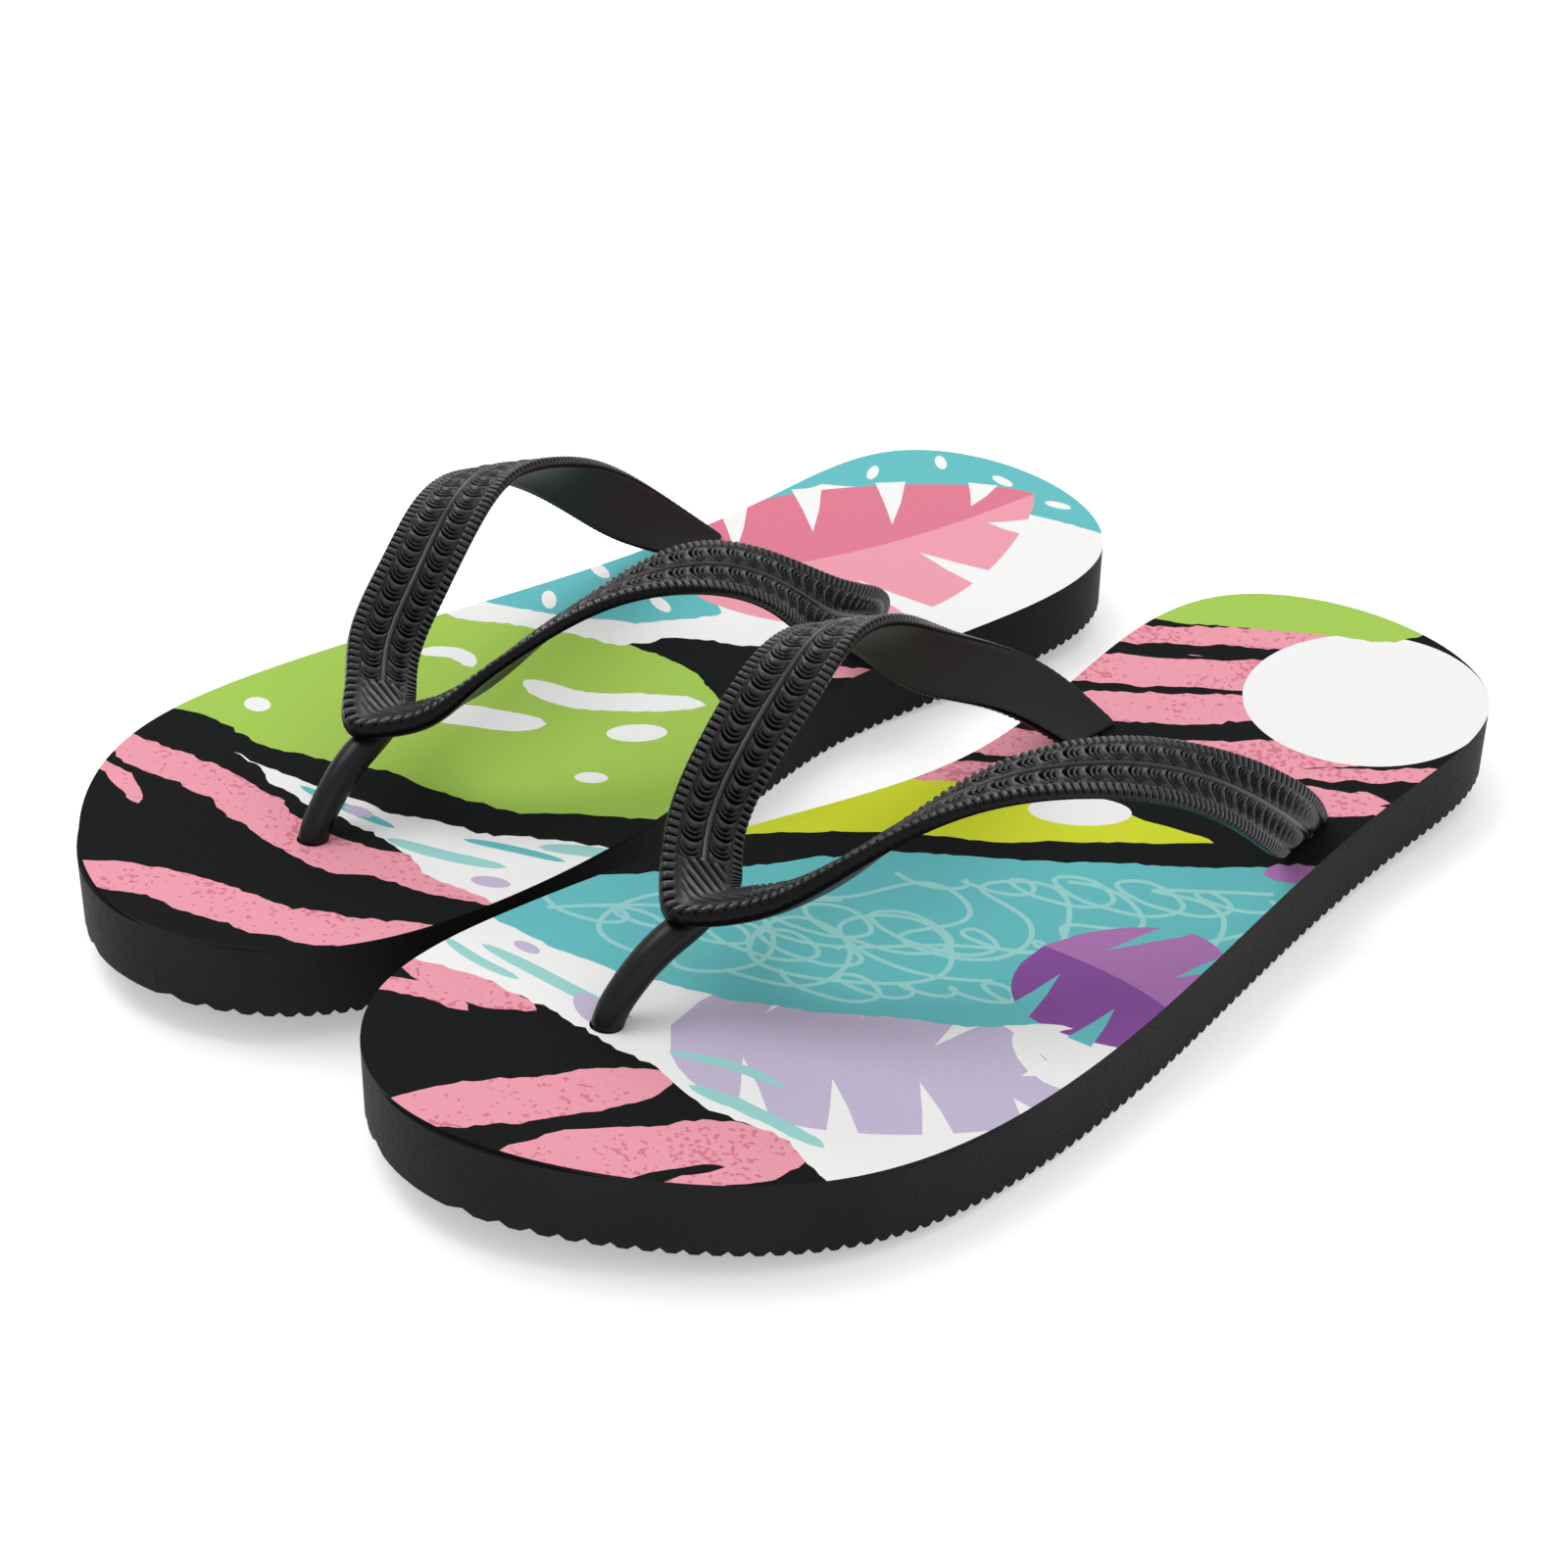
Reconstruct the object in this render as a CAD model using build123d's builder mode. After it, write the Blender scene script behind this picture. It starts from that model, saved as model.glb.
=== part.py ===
from build123d import *
import os
from math import cos, radians, sin

# A pair of thong sandals, in millimetres. +Y points to the toes, +Z is up, and the left sandal has
# X below zero. Each sandal has its own frame, at the middle of its sole's underside, with x towards
# the other sandal, and the right sandal is the left one's mirror image in the plane X = 0.

# Where the sandals lie
SPREAD = 55.25  # from the plane X = 0 to the middle of each sole
TOE_IN = radians(2.12)  # each sandal turns its toes this much towards the other
ALONG = -0.35  # brings the middle of the pair's length to Y = 0

# Sole: a slab of even thickness, bent along its length about a centre far above it
LENGTH = 270.0
SOLE_THICKNESS = 14.3
SHEET_THICKNESS = 0.8
BEND_RADIUS = 1190.0  # of the underside

# Plan outline of the left sole, from the toe tip along the inner side, round the heel and back
OUTLINE = [
    (16.5, 135.0),
    (39.2, 120.5),
    (50.4, 78.0),
    (46.4, 25.0),
    (36.7, -28.0),
    (43.2, -73.0),
    (42.8, -117.5),
    (4.0, -135.0),
    (-28.0, -122.5),
    (-35.5, -87.0),
    (-43.7, -26.0),
    (-55.2, 43.0),
    (-51.2, 87.0),
    (-26.5, 120.0),
]

# Tread: straight ridges across the sole, with V-shaped grooves between them
RIDGE_PITCH = 2.83
RIDGE_LAND = 1.1
GROOVE_DEPTH = 1.0
RIDGES_EACH_WAY = int(LENGTH / 2 / RIDGE_PITCH) + 2  # from the sole's middle to past its ends

# Strap: a band in two arms that meet over the toe post, held by a round plug under each hole
BAND_WIDTH = 15.0
BAND_THICKNESS = 3.0
POST_HOLE = (9.0, 91.0)
INNER_HOLE = (23.5, -54.0)
OUTER_HOLE = (-29.8, -57.5)
POST_NECK_RADIUS = 3.0
ARM_NECK_RADIUS = 2.6
NECK_GAP = 0.1  # between each neck and its hole
PLUG_RADIUS = 6.2
PLUG_THICKNESS = 2.6
RECESS_RADIUS = 6.8
RECESS_DEPTH = 4.2
BAND_CLEARANCE = 0.4  # between the footbed and each arm's end
NECK_REACH = 1.2  # how far an arm's neck runs up inside its end

# The middle of each arm, from the toe post to its hole: x, y and z, then the plan angle between the
# band's width and the sandal's length, and how far its heel-side edge rises, both in degrees
INNER_ARM = [
    (7.0, 71.0, 33.5, 42, -20),
    (18.6, 59.1, 42.2, 42, -28),
    (25.0, 45.0, 51.0, 49, -30),
    (31.0, 27.5, 57.9, 61, -16),
    (36.6, 11.0, 58.7, 71, 14),
    (40.0, -6.0, 51.0, 58, 33),
    (40.3, -23.0, 38.6, 12, 43),
    (34.0, -42.0, 28.5, -5, 24),
]
OUTER_ARM = [
    (6.0, 71.0, 34.6, 36, -20),
    (-6.8, 58.1, 41.4, 40, -29),
    (-14.4, 43.8, 49.3, 49, -32),
    (-22.4, 26.3, 56.4, 61, -11),
    (-29.8, 9.5, 56.8, 67, 10),
    (-34.8, -10.5, 49.9, 64, 28),
    (-37.8, -29.5, 38.2, 36, 44),
    (-36.8, -44.0, 27.0, 10, 36),
]

# The middle of the toe post, from the footbed up: x, y, z, radius, then its run as dy and dz
POST = [
    (9.0, 91.0, 19.2, 3.1, 0.0, 1.0),
    (8.7, 87.4, 24.2, 3.1, -0.9, 1.0),
    (8.0, 81.0, 29.8, 3.3, -1.0, 0.7),
    (6.7, 69.5, 35.2, 4.2, -1.0, 0.35),
]

HOLES = {
    POST_HOLE: POST_NECK_RADIUS,
    INNER_HOLE: ARM_NECK_RADIUS,
    OUTER_HOLE: ARM_NECK_RADIUS,
}
FOOTBED_RADIUS = BEND_RADIUS - SOLE_THICKNESS - SHEET_THICKNESS
HALF_WIDTH = 70.0  # more than half of any sole's width
ABOVE_ALL = 80.0

LEFT = Plane(
    origin=(-SPREAD, ALONG, 0),
    x_dir=(cos(TOE_IN), -sin(TOE_IN), 0),
    z_dir=(0, 0, 1),
)
LEFT_SIDE = Plane(origin=LEFT.origin, x_dir=LEFT.y_dir, z_dir=LEFT.x_dir)


def on_bend(radius, along):
    """A point of the side view, at this distance along the underside, on the bend of this radius."""
    turn = along / BEND_RADIUS
    return (radius * sin(turn), BEND_RADIUS - radius * cos(turn))


def height(radius, y):
    """How high the bend of this radius stands at y in the sandal's own frame."""
    return BEND_RADIUS - (radius**2 - y**2) ** 0.5


def tread_line():
    """The underside's side view from heel to toe, a little longer than the sole."""
    points = []
    for number in range(-RIDGES_EACH_WAY, RIDGES_EACH_WAY + 1):
        middle = number * RIDGE_PITCH
        points.append(on_bend(BEND_RADIUS, middle - RIDGE_LAND / 2))
        points.append(on_bend(BEND_RADIUS, middle + RIDGE_LAND / 2))
        points.append(on_bend(BEND_RADIUS - GROOVE_DEPTH, middle + RIDGE_PITCH / 2))
    return points[:-1]


def bend_arc(radius):
    """The arc of this radius in the side view, from heel to toe, a little longer than the sole."""
    reach = RIDGES_EACH_WAY * RIDGE_PITCH + RIDGE_LAND / 2
    return ThreePointArc(on_bend(radius, -reach), on_bend(radius, 0), on_bend(radius, reach))


def way(x, y, z):
    """A direction given in the left sandal's own frame."""
    return LEFT.x_dir * x + LEFT.y_dir * y + LEFT.z_dir * z


def place(x, y, z):
    """A point given in the left sandal's own frame."""
    return LEFT.from_local_coords(Vector(x, y, z))


def band_planes(stations, side, hole):
    """The planes of an arm's sections, with x along the band's width. side is 1 on the inner arm."""
    hole_x, hole_y = hole
    end = (hole_x, hole_y, height(FOOTBED_RADIUS, hole_y) + BAND_CLEARANCE, 0, 0)
    rows = stations + [end]
    planes = []
    for number, (x, y, z, turn, rise) in enumerate(rows):
        width = Vector(
            -side * sin(radians(turn)) * cos(radians(rise)),
            -cos(radians(turn)) * cos(radians(rise)),
            sin(radians(rise)),
        )
        before = Vector(*rows[max(number - 1, 0)][:3])
        after = Vector(*rows[min(number + 1, len(rows) - 1)][:3])
        run = Vector(0, 0, -1) if rows[number] is end else after - before
        run = run - width * run.dot(width)
        planes.append(Plane(origin=place(x, y, z), x_dir=way(*width), z_dir=way(*run)))
    return planes


# Left sole: the bent slab with its tread, cut to the plan outline, then the strap's stepped holes
with BuildPart() as sole_left:
    with BuildSketch(LEFT):
        with BuildLine():
            Spline(*OUTLINE, periodic=True)
        make_face()
    extrude(amount=ABOVE_ALL)
    with BuildSketch(LEFT_SIDE):
        with BuildLine():
            tread = Polyline(*tread_line())
            sole_top = bend_arc(BEND_RADIUS - SOLE_THICKNESS)
            Line(tread @ 0, sole_top @ 0)
            Line(tread @ 1, sole_top @ 1)
        make_face()
    extrude(amount=HALF_WIDTH, both=True, mode=Mode.INTERSECT)
    for (hole_x, hole_y), neck_radius in HOLES.items():
        with BuildSketch(LEFT):
            with Locations((hole_x, hole_y)):
                Circle(neck_radius + NECK_GAP)
        extrude(amount=ABOVE_ALL, mode=Mode.SUBTRACT)
        with BuildSketch(LEFT):
            with Locations((hole_x, hole_y)):
                Circle(RECESS_RADIUS)
        extrude(amount=height(BEND_RADIUS, hole_y) + RECESS_DEPTH, mode=Mode.SUBTRACT)
sole_left.part.label = "sole_left"

# Left top sheet: the printed fabric bonded over the whole sole, with the same three holes
with BuildPart() as top_sheet_left:
    with BuildSketch(LEFT):
        with BuildLine():
            Spline(*OUTLINE, periodic=True)
        make_face()
        for (hole_x, hole_y), neck_radius in HOLES.items():
            with Locations((hole_x, hole_y)):
                Circle(neck_radius + NECK_GAP, mode=Mode.SUBTRACT)
    extrude(amount=ABOVE_ALL)
    with BuildSketch(LEFT_SIDE):
        with BuildLine():
            sheet_bottom = bend_arc(BEND_RADIUS - SOLE_THICKNESS)
            sheet_top = bend_arc(FOOTBED_RADIUS)
            Line(sheet_bottom @ 0, sheet_top @ 0)
            Line(sheet_bottom @ 1, sheet_top @ 1)
        make_face()
    extrude(amount=HALF_WIDTH, both=True, mode=Mode.INTERSECT)
top_sheet_left.part.label = "top_sheet_left"

# Left strap: one moulding of two arms, the toe post, and a neck and a plug at each of the three ends
with BuildPart() as strap_left:
    for stations, side, hole in ((INNER_ARM, 1, INNER_HOLE), (OUTER_ARM, -1, OUTER_HOLE)):
        for plane in band_planes(stations, side, hole):
            with BuildSketch(plane):
                Rectangle(BAND_WIDTH, BAND_THICKNESS)
        loft()
    for x, y, z, radius, run_y, run_z in POST:
        with BuildSketch(Plane(origin=place(x, y, z), x_dir=LEFT.x_dir, z_dir=way(0, run_y, run_z))):
            Circle(radius)
    loft()
    for (hole_x, hole_y), neck_radius in HOLES.items():
        plug_top = height(BEND_RADIUS, hole_y) + RECESS_DEPTH
        neck_top = height(FOOTBED_RADIUS, hole_y) + NECK_REACH
        with BuildSketch(LEFT.offset(plug_top - PLUG_THICKNESS)):
            with Locations((hole_x, hole_y)):
                Circle(PLUG_RADIUS)
        extrude(amount=PLUG_THICKNESS)
        with BuildSketch(LEFT.offset(plug_top)):
            with Locations((hole_x, hole_y)):
                Circle(neck_radius)
        extrude(amount=neck_top - plug_top)
strap_left.part.label = "strap_left"

# The right sandal mirrors the left one
with BuildPart() as sole_right:
    mirror(sole_left.part, about=Plane.YZ)
sole_right.part.label = "sole_right"

with BuildPart() as top_sheet_right:
    mirror(top_sheet_left.part, about=Plane.YZ)
top_sheet_right.part.label = "top_sheet_right"

with BuildPart() as strap_right:
    mirror(strap_left.part, about=Plane.YZ)
strap_right.part.label = "strap_right"

os.makedirs("parts", exist_ok=True)
for piece in (sole_left, top_sheet_left, strap_left, sole_right, top_sheet_right, strap_right):
    export_step(piece.part, f"parts/{piece.part.label}.step")
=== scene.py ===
from math import ceil, cos, pi, radians, sin, sqrt

import bpy
import numpy as np
from mathutils import Matrix, Vector
from mathutils.geometry import delaunay_2d_cdt


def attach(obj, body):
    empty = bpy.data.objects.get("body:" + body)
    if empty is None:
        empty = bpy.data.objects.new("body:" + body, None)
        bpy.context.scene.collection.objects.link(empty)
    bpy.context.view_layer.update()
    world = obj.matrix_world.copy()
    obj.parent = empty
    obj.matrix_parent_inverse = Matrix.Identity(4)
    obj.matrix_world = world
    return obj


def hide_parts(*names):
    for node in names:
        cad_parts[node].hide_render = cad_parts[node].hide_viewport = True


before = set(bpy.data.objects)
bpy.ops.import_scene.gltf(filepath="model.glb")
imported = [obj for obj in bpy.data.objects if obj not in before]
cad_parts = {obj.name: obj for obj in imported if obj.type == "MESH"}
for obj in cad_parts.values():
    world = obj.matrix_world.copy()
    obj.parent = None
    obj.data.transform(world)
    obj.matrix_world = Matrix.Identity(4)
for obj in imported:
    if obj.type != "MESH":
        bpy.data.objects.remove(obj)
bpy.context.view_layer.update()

MM = 0.001

# ------------------------------------------------------ the sandal's sizes, as in the design
SPREAD = 55.25  # from the plane X = 0 to the middle of each sole
TOE_IN = radians(2.12)  # each sandal turns its toes this much towards the other
ALONG = -0.35  # brings the middle of the pair's length to Y = 0
SOLE_THICKNESS = 14.3
SHEET_THICKNESS = 0.8
BEND_RADIUS = 1190.0  # of the underside
SHEET_RADIUS = BEND_RADIUS - SOLE_THICKNESS
FOOTBED_RADIUS = SHEET_RADIUS - SHEET_THICKNESS

# Plan outline of the sole, from the toe tip along the inner side, round the heel and back
OUTLINE = [
    (16.5, 135.0), (39.2, 120.5), (50.4, 78.0), (46.4, 25.0), (36.7, -28.0), (43.2, -73.0),
    (42.8, -117.5), (4.0, -135.0), (-28.0, -122.5), (-35.5, -87.0), (-43.7, -26.0), (-55.2, 43.0),
    (-51.2, 87.0), (-26.5, 120.0),
]

BAND_WIDTH = 15.0
POST_HOLE = (9.0, 91.0)
INNER_HOLE = (23.5, -54.0)
OUTER_HOLE = (-29.8, -57.5)
POST_HOLE_RADIUS = 3.1
ARM_HOLE_RADIUS = 2.7
HOLES = (
    (POST_HOLE, POST_HOLE_RADIUS),
    (INNER_HOLE, ARM_HOLE_RADIUS),
    (OUTER_HOLE, ARM_HOLE_RADIUS),
)
HOLE_CLEARANCE = 0.1  # round each neck
PLUG_RADIUS = 6.2
PLUG_THICKNESS = 2.6
RECESS_DEPTH = 4.2
BAND_CLEARANCE = 0.4  # between the footbed and each arm's end
NECK_REACH = 0.45  # how far each neck stands over the footbed, inside the post or the arm's end

# The middle of each arm from the toe post to its hole: x, y and z, then the plan angle between the
# band's width and the sandal's length, and how far its heel-side edge rises, both in degrees
INNER_ARM = [
    (18.6, 59.1, 42.2, 42, -28), (25.0, 45.0, 51.0, 49, -30), (31.0, 27.5, 57.9, 61, -16),
    (36.6, 11.0, 58.7, 71, 14), (40.0, -6.0, 51.0, 58, 33), (40.3, -23.0, 38.6, 12, 43),
    (34.0, -42.0, 28.5, -5, 24),
]
OUTER_ARM = [
    (-6.8, 58.1, 41.4, 40, -29), (-14.4, 43.8, 49.3, 49, -32), (-22.4, 26.3, 56.4, 61, -11),
    (-29.8, 9.5, 56.8, 67, 10), (-34.8, -10.5, 49.9, 64, 28), (-37.8, -29.5, 38.2, 36, 44),
    (-36.8, -44.0, 27.0, 10, 36),
]
# Where the arms meet over the toe post: the heel-side and the toe-side edge, from the outer arm to
# the inner
MEETING = [
    ((4.3, 59.6, 35.6), (-3.3, 71.0, 40.0)),
    ((5.6, 61.0, 35.2), (2.2, 76.2, 38.6)),
    ((6.4, 61.5, 35.2), (6.9, 78.2, 37.8)),
    ((7.2, 61.0, 35.4), (11.5, 76.0, 38.5)),
    ((8.4, 59.6, 36.0), (17.2, 71.0, 40.3)),
]
# The middle of the toe post from the footbed up, with its radius
POST = [
    ((9.0, 91.0, 18.2), 3.05), ((8.95, 89.9, 20.8), 3.05), ((8.7, 87.2, 24.3), 3.1),
    ((8.2, 83.0, 28.2), 3.2), ((7.6, 78.0, 31.4), 3.3), ((7.0, 72.0, 33.4), 2.9),
    ((6.7, 67.0, 34.2), 1.6),
]


# ------------------------------------------------------ shapes
def height(radius, y):
    """How high the bend of this radius stands at y."""
    return BEND_RADIUS - np.sqrt(radius**2 - np.asarray(y, float) ** 2)


def to_row(points, side):
    """Points of a sandal's own frame, in millimetres, as points of the row frame, in metres."""
    x, y, z = np.asarray(points, float).T
    across = -SPREAD + x * cos(TOE_IN) + y * sin(TOE_IN)
    along = ALONG - x * sin(TOE_IN) + y * cos(TOE_IN)
    return np.stack([across if side == "left" else -across, along, z], axis=1) * MM


def cubic(knots, values, closed=False):
    """A function that gives the cubic spline through these values at these knots."""
    knots, values = np.asarray(knots, float), np.asarray(values, float)
    gaps = np.diff(knots)
    slopes = np.diff(values, axis=0) / gaps[:, None]
    count = len(gaps)
    size = count if closed else count + 1
    system, right = np.eye(size), np.zeros((size, values.shape[1]))
    for i in range(0 if closed else 1, count):
        system[i, i] = 2 * (gaps[i - 1] + gaps[i])
        system[i, i - 1] += gaps[i - 1]
        system[i, (i + 1) % size] += gaps[i]
        right[i] = 6 * (slopes[i] - slopes[i - 1])
    bends = np.linalg.solve(system, right)
    if closed:
        bends = np.vstack([bends, bends[:1]])

    def at(where):
        where = np.asarray(where, float)
        i = np.clip(np.searchsorted(knots, where, side="right") - 1, 0, count - 1)
        step, gap = (where - knots[i])[:, None], gaps[i][:, None]
        first = slopes[i] - gap * (2 * bends[i] + bends[i + 1]) / 6
        third = (bends[i + 1] - bends[i]) / (6 * gap)
        return values[i] + step * first + step**2 * bends[i] / 2 + step**3 * third

    return at


def lengths(points):
    """How far along the line through these points each of them is."""
    steps = np.linalg.norm(np.diff(np.asarray(points, float), axis=0), axis=1)
    return np.concatenate([[0.0], np.cumsum(steps)])


def curve(points, spacing, closed=False):
    """Evenly spaced points on the cubic spline through these points."""
    points = np.asarray(points, float)
    if closed:
        points = np.vstack([points, points[:1]])
    along = lengths(points)
    count = max(2, ceil(along[-1] / spacing))
    where = np.linspace(0, along[-1], count + 1)
    return cubic(along, points, closed)(where[:-1] if closed else where)


def smooth(low, high, value):
    """0 below low, 1 above high and smooth in between."""
    t = np.clip((np.asarray(value, float) - low) / (high - low), 0, 1)
    return t * t * (3 - 2 * t)


def bump(distance, width):
    """A rounded ridge, 1 high, at distance 0."""
    return np.exp(-((distance / width) ** 2))


def rounded(distance, length):
    """How far a round end falls away: 1 at distance 0 from the end, and 0 from this length on."""
    return 1 - np.sqrt(np.clip(1 - (1 - np.clip(distance / length, 0, 1)) ** 2, 0, 1))


def unit(vectors):
    """These vectors, each made 1 long."""
    return vectors / np.maximum(np.linalg.norm(vectors, axis=1), 1e-9)[:, None]


def beside(line):
    """The direction to the left of a flat line at each of its points."""
    ways = unit(np.gradient(line, axis=0))
    return np.stack([-ways[:, 1], ways[:, 0]], axis=1)


def circle(middle, radius, count=40):
    """Evenly spaced points on a flat circle."""
    angles = np.linspace(0, 2 * pi, count, endpoint=False)
    return np.array(middle) + radius * np.stack([np.cos(angles), np.sin(angles)], axis=1)


def mesh_piece(name, points, faces, side, materials, slots, smooth_faces=True, relief_shade=None):
    """A mesh object in the row frame. Faces turn over on the right sandal, which is a mirror image.

    slots is each face's number in materials, and the last argument gives a number for each point,
    kept on the mesh for its material to paint shade and highlight by."""
    if side == "right":
        faces = [tuple(reversed(face)) for face in faces]
    mesh = bpy.data.meshes.new(name)
    mesh.from_pydata(to_row(points, side).tolist(), [], faces)
    for material in materials:
        mesh.materials.append(material)
    mesh.polygons.foreach_set("material_index", np.asarray(slots, np.int32))
    mesh.polygons.foreach_set("use_smooth", np.full(len(faces), smooth_faces))
    if relief_shade is not None:
        kept = mesh.attributes.new("relief_shade", "FLOAT", "POINT").data
        kept.foreach_set("value", np.asarray(relief_shade, np.float32))
    mesh.update()
    piece = bpy.data.objects.new(name, mesh)
    bpy.context.scene.collection.objects.link(piece)
    return piece


# ------------------------------------------------------ materials
class Nodes:
    """A material's node tree, with short ways to add and join nodes."""

    def __init__(self, name, colour, roughness, specular=0.5):
        self.material = bpy.data.materials.new(name)
        self.material.use_nodes = True
        self.tree = self.material.node_tree
        self.shader = self.tree.nodes["Principled BSDF"]
        self.shader.inputs["Base Color"].default_value = (*colour, 1)
        self.shader.inputs["Roughness"].default_value = roughness
        self.shader.inputs["Specular IOR Level"].default_value = specular
        self.place = self.tree.nodes.new("ShaderNodeTexCoord").outputs["Object"]

    def add(self, kind, **settings):
        node = self.tree.nodes.new(kind)
        for key, value in settings.items():
            if hasattr(node, key):
                setattr(node, key, value)
            else:
                node.inputs[key.replace("_", " ")].default_value = value
        return node

    def join(self, output, socket):
        self.tree.links.new(output, socket)

    def noise(self, scale, detail, roughness=0.5):
        node = self.add("ShaderNodeTexNoise", Scale=scale, Detail=detail, Roughness=roughness)
        self.join(self.place, node.inputs["Vector"])
        return node.outputs["Fac"]

    def ramp(self, value, *stops):
        node = self.add("ShaderNodeValToRGB")
        elements = node.color_ramp.elements
        for number, (position, colour) in enumerate(stops):
            element = elements[number] if number < 2 else elements.new(position)
            element.position = position
            element.color = (*colour, 1)
        self.join(value, node.inputs["Fac"])
        return node.outputs["Color"]

    def bump(self, relief, distance, strength, after=None):
        node = self.add("ShaderNodeBump", Distance=distance, Strength=strength)
        self.join(relief, node.inputs["Height"])
        if after is not None:
            self.join(after, node.inputs["Normal"])
        return node.outputs["Normal"]


def linear(red, green, blue):
    """A colour given as 0 to 255 on screen, as the shader's linear values."""
    return tuple(
        part / 12.92 if part <= 0.04045 else ((part + 0.055) / 1.055) ** 2.4
        for part in (red / 255, green / 255, blue / 255)
    )


def grey(value):
    """A number as a ramp's colour."""
    return (value, value, value)


def rubber_material():
    """Matte black sole rubber with a fine moulded grain."""
    nodes = Nodes("sole_rubber", linear(20, 20, 21), 0.62, 0.12)
    grain = nodes.noise(1900, 2.0, 0.55)
    cloudy = nodes.noise(60, 3.0)
    colour = nodes.ramp(cloudy, (0.3, linear(20, 20, 21)), (0.75, linear(26, 26, 27)))
    nodes.join(colour, nodes.shader.inputs["Base Color"])
    dull = nodes.ramp(grain, (0.3, grey(0.54)), (0.7, grey(0.72)))
    nodes.join(dull, nodes.shader.inputs["Roughness"])
    nodes.join(nodes.bump(grain, 0.00012, 0.5), nodes.shader.inputs["Normal"])
    return nodes.material


# Levels on the scale that the strap's material reads, from which it paints shade and highlight: low
# is painted darker and less glossy, high lighter and glossier. The outer face takes its relief, the
# rest fixed levels
GROOVE = 0.3
EDGES = 0.4
POST_AND_PLUGS = 0.5
FLAT = 0.62
RIDGE = 0.85


def strap_material():
    """Satin black moulded plastic, with painted shade in its grooves and painted highlight on its
    ridges: darker and duller in the grooves, lighter and glossier on the ridges.
    """
    nodes = Nodes("strap_pvc", linear(14, 14, 15), 0.34)
    relief_shade = nodes.add("ShaderNodeAttribute", attribute_name="relief_shade").outputs["Fac"]
    # Painted shade and highlight: the specular level follows the level, low in the grooves and high
    # on the ridges
    shine = nodes.ramp(relief_shade, (GROOVE, grey(0.03)), (FLAT, grey(0.4)), (RIDGE, grey(0.75)))
    nodes.join(shine, nodes.shader.inputs["Specular IOR Level"])
    # and so does the base colour: painted shade in the grooves, painted highlight on the ridges
    dark, middle, light = linear(5, 5, 5), linear(20, 20, 21), linear(33, 33, 34)
    colour = nodes.ramp(relief_shade, (GROOVE, dark), (FLAT, middle), (RIDGE, light))
    nodes.join(colour, nodes.shader.inputs["Base Color"])
    grain = nodes.noise(2600, 2.0)
    patches = nodes.noise(90, 2.0)
    dull = nodes.ramp(patches, (0.3, grey(0.27)), (0.7, grey(0.38)))
    nodes.join(dull, nodes.shader.inputs["Roughness"])
    nodes.join(nodes.bump(grain, 0.00004, 0.35), nodes.shader.inputs["Normal"])
    return nodes.material


def underside_sheen_material():
    """The strap's smooth underside: the same plastic, left duller by the mould, and painted a
    lighter grey to stand in for its soft sheen.
    """
    return Nodes("strap_underside_painted_sheen", linear(44, 44, 45), 0.48, 0.16).material


WEAVE_PITCH = 0.0006  # of the fabric's fine ribs, in metres; they run on the bias
WEAVE_TURN = radians(46)
WEAVE_SHADE = 0.945  # painted shade between the ribs, as a share of the colour
WAVES_PER_SCALE = 20 / (2 * pi)  # waves in one unit of length at the wave texture's scale 1
COLOUR_A, COLOUR_B, COLOUR_OUT = 6, 7, 2  # the mix node's colour sockets


def fabric_material(name, colour, speckle=None):
    """Fine ribbed fabric printed in one colour, or in one colour with darker speckles, with painted
    shade between its ribs.
    """
    nodes = Nodes("print_" + name, linear(*colour), 0.86, 0.04)
    turned = nodes.add("ShaderNodeMapping")
    turned.inputs["Rotation"].default_value = (0, 0, WEAVE_TURN)
    nodes.join(nodes.place, turned.inputs["Vector"])
    scale = 1 / (WAVES_PER_SCALE * WEAVE_PITCH)
    rib = nodes.add("ShaderNodeTexWave", Scale=scale, Distortion=0.4, Detail=1.0)
    rib.inputs["Detail Scale"].default_value = 0.35
    nodes.join(turned.outputs["Vector"], rib.inputs["Vector"])
    # the painted shade between the ribs
    dark = linear(*[part * WEAVE_SHADE for part in colour])
    shade = nodes.ramp(rib.outputs["Fac"], (0.15, dark), (0.7, linear(*colour)))
    if speckle:
        fine, broad = nodes.noise(760, 1.0), nodes.noise(55, 1.0)
        both = nodes.add("ShaderNodeMath", operation="ADD")
        nodes.join(fine, both.inputs[0])
        nodes.join(nodes.ramp(broad, (0.38, grey(0.0)), (0.68, grey(0.2))), both.inputs[1])
        where = nodes.ramp(both.outputs[0], (0.70, grey(0.0)), (0.72, grey(1.0)))
        mixed = nodes.add("ShaderNodeMix", data_type="RGBA")
        nodes.join(where, mixed.inputs["Factor"])
        nodes.join(shade, mixed.inputs[COLOUR_A])
        mixed.inputs[COLOUR_B].default_value = (*linear(*speckle), 1)
        shade = mixed.outputs[COLOUR_OUT]
    nodes.join(shade, nodes.shader.inputs["Base Color"])
    threads = nodes.noise(2400, 1.0)
    under = nodes.bump(threads, 0.00005, 0.4)
    nodes.join(nodes.bump(rib.outputs["Fac"], 0.00006, 0.6, under), nodes.shader.inputs["Normal"])
    return nodes.material


PRINT_COLOURS = {
    "black": (26, 28, 28),
    "white": (246, 246, 245),
    "pink": (239, 160, 174),
    "rose": (226, 128, 150),
    "blush": (240, 162, 177),
    "lime": (168, 206, 90),
    "yellow": (214, 223, 54),
    "teal": (106, 194, 198),
    "pale_teal": (158, 216, 213),
    "lilac": (201, 189, 216),
    "purple": (139, 84, 160),
    "mauve": (176, 121, 181),
}
SPECKLE = (213, 124, 143)


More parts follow.
